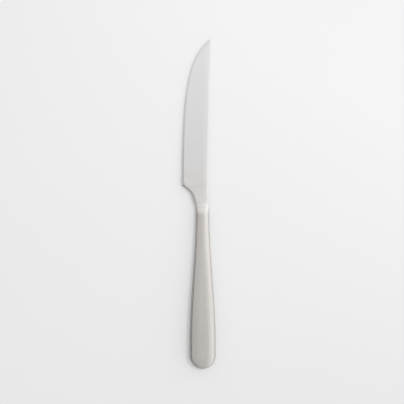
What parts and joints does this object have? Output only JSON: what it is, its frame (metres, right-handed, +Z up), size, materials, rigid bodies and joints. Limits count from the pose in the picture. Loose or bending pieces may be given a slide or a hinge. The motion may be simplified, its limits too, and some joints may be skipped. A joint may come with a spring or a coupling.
{
  "type": "steak knife",
  "caption": "Slim steak knife with a pointed, finely serrated blade and a smooth hollow steel handle that widens to a rounded butt.",
  "frame": {"origin": "Under the middle of the whole knife, on the plane that the handle's belly touches when the knife lies flat.", "axes": "+Y runs from the handle to the tip, +Z is up through the blade's face, and the cutting edge faces -X."},
  "size_m": [0.024, 0.235, 0.0092],
  "materials": {
    "blade_steel": "fine satin grind, hardened knife steel",
    "handle_steel": "satin brushed along the handle, chrome-nickel steel",
    "weld_steel": "ground flush and satin brushed",
    "cement": "set mineral cement, hidden in the handle"
  },
  "bodies": {
    "root": {"blade": "blade_steel", "upper_shell": "handle_steel", "lower_shell": "handle_steel", "seam_weld": "weld_steel", "tang_cement": "cement"}
  },
  "joints": []
}
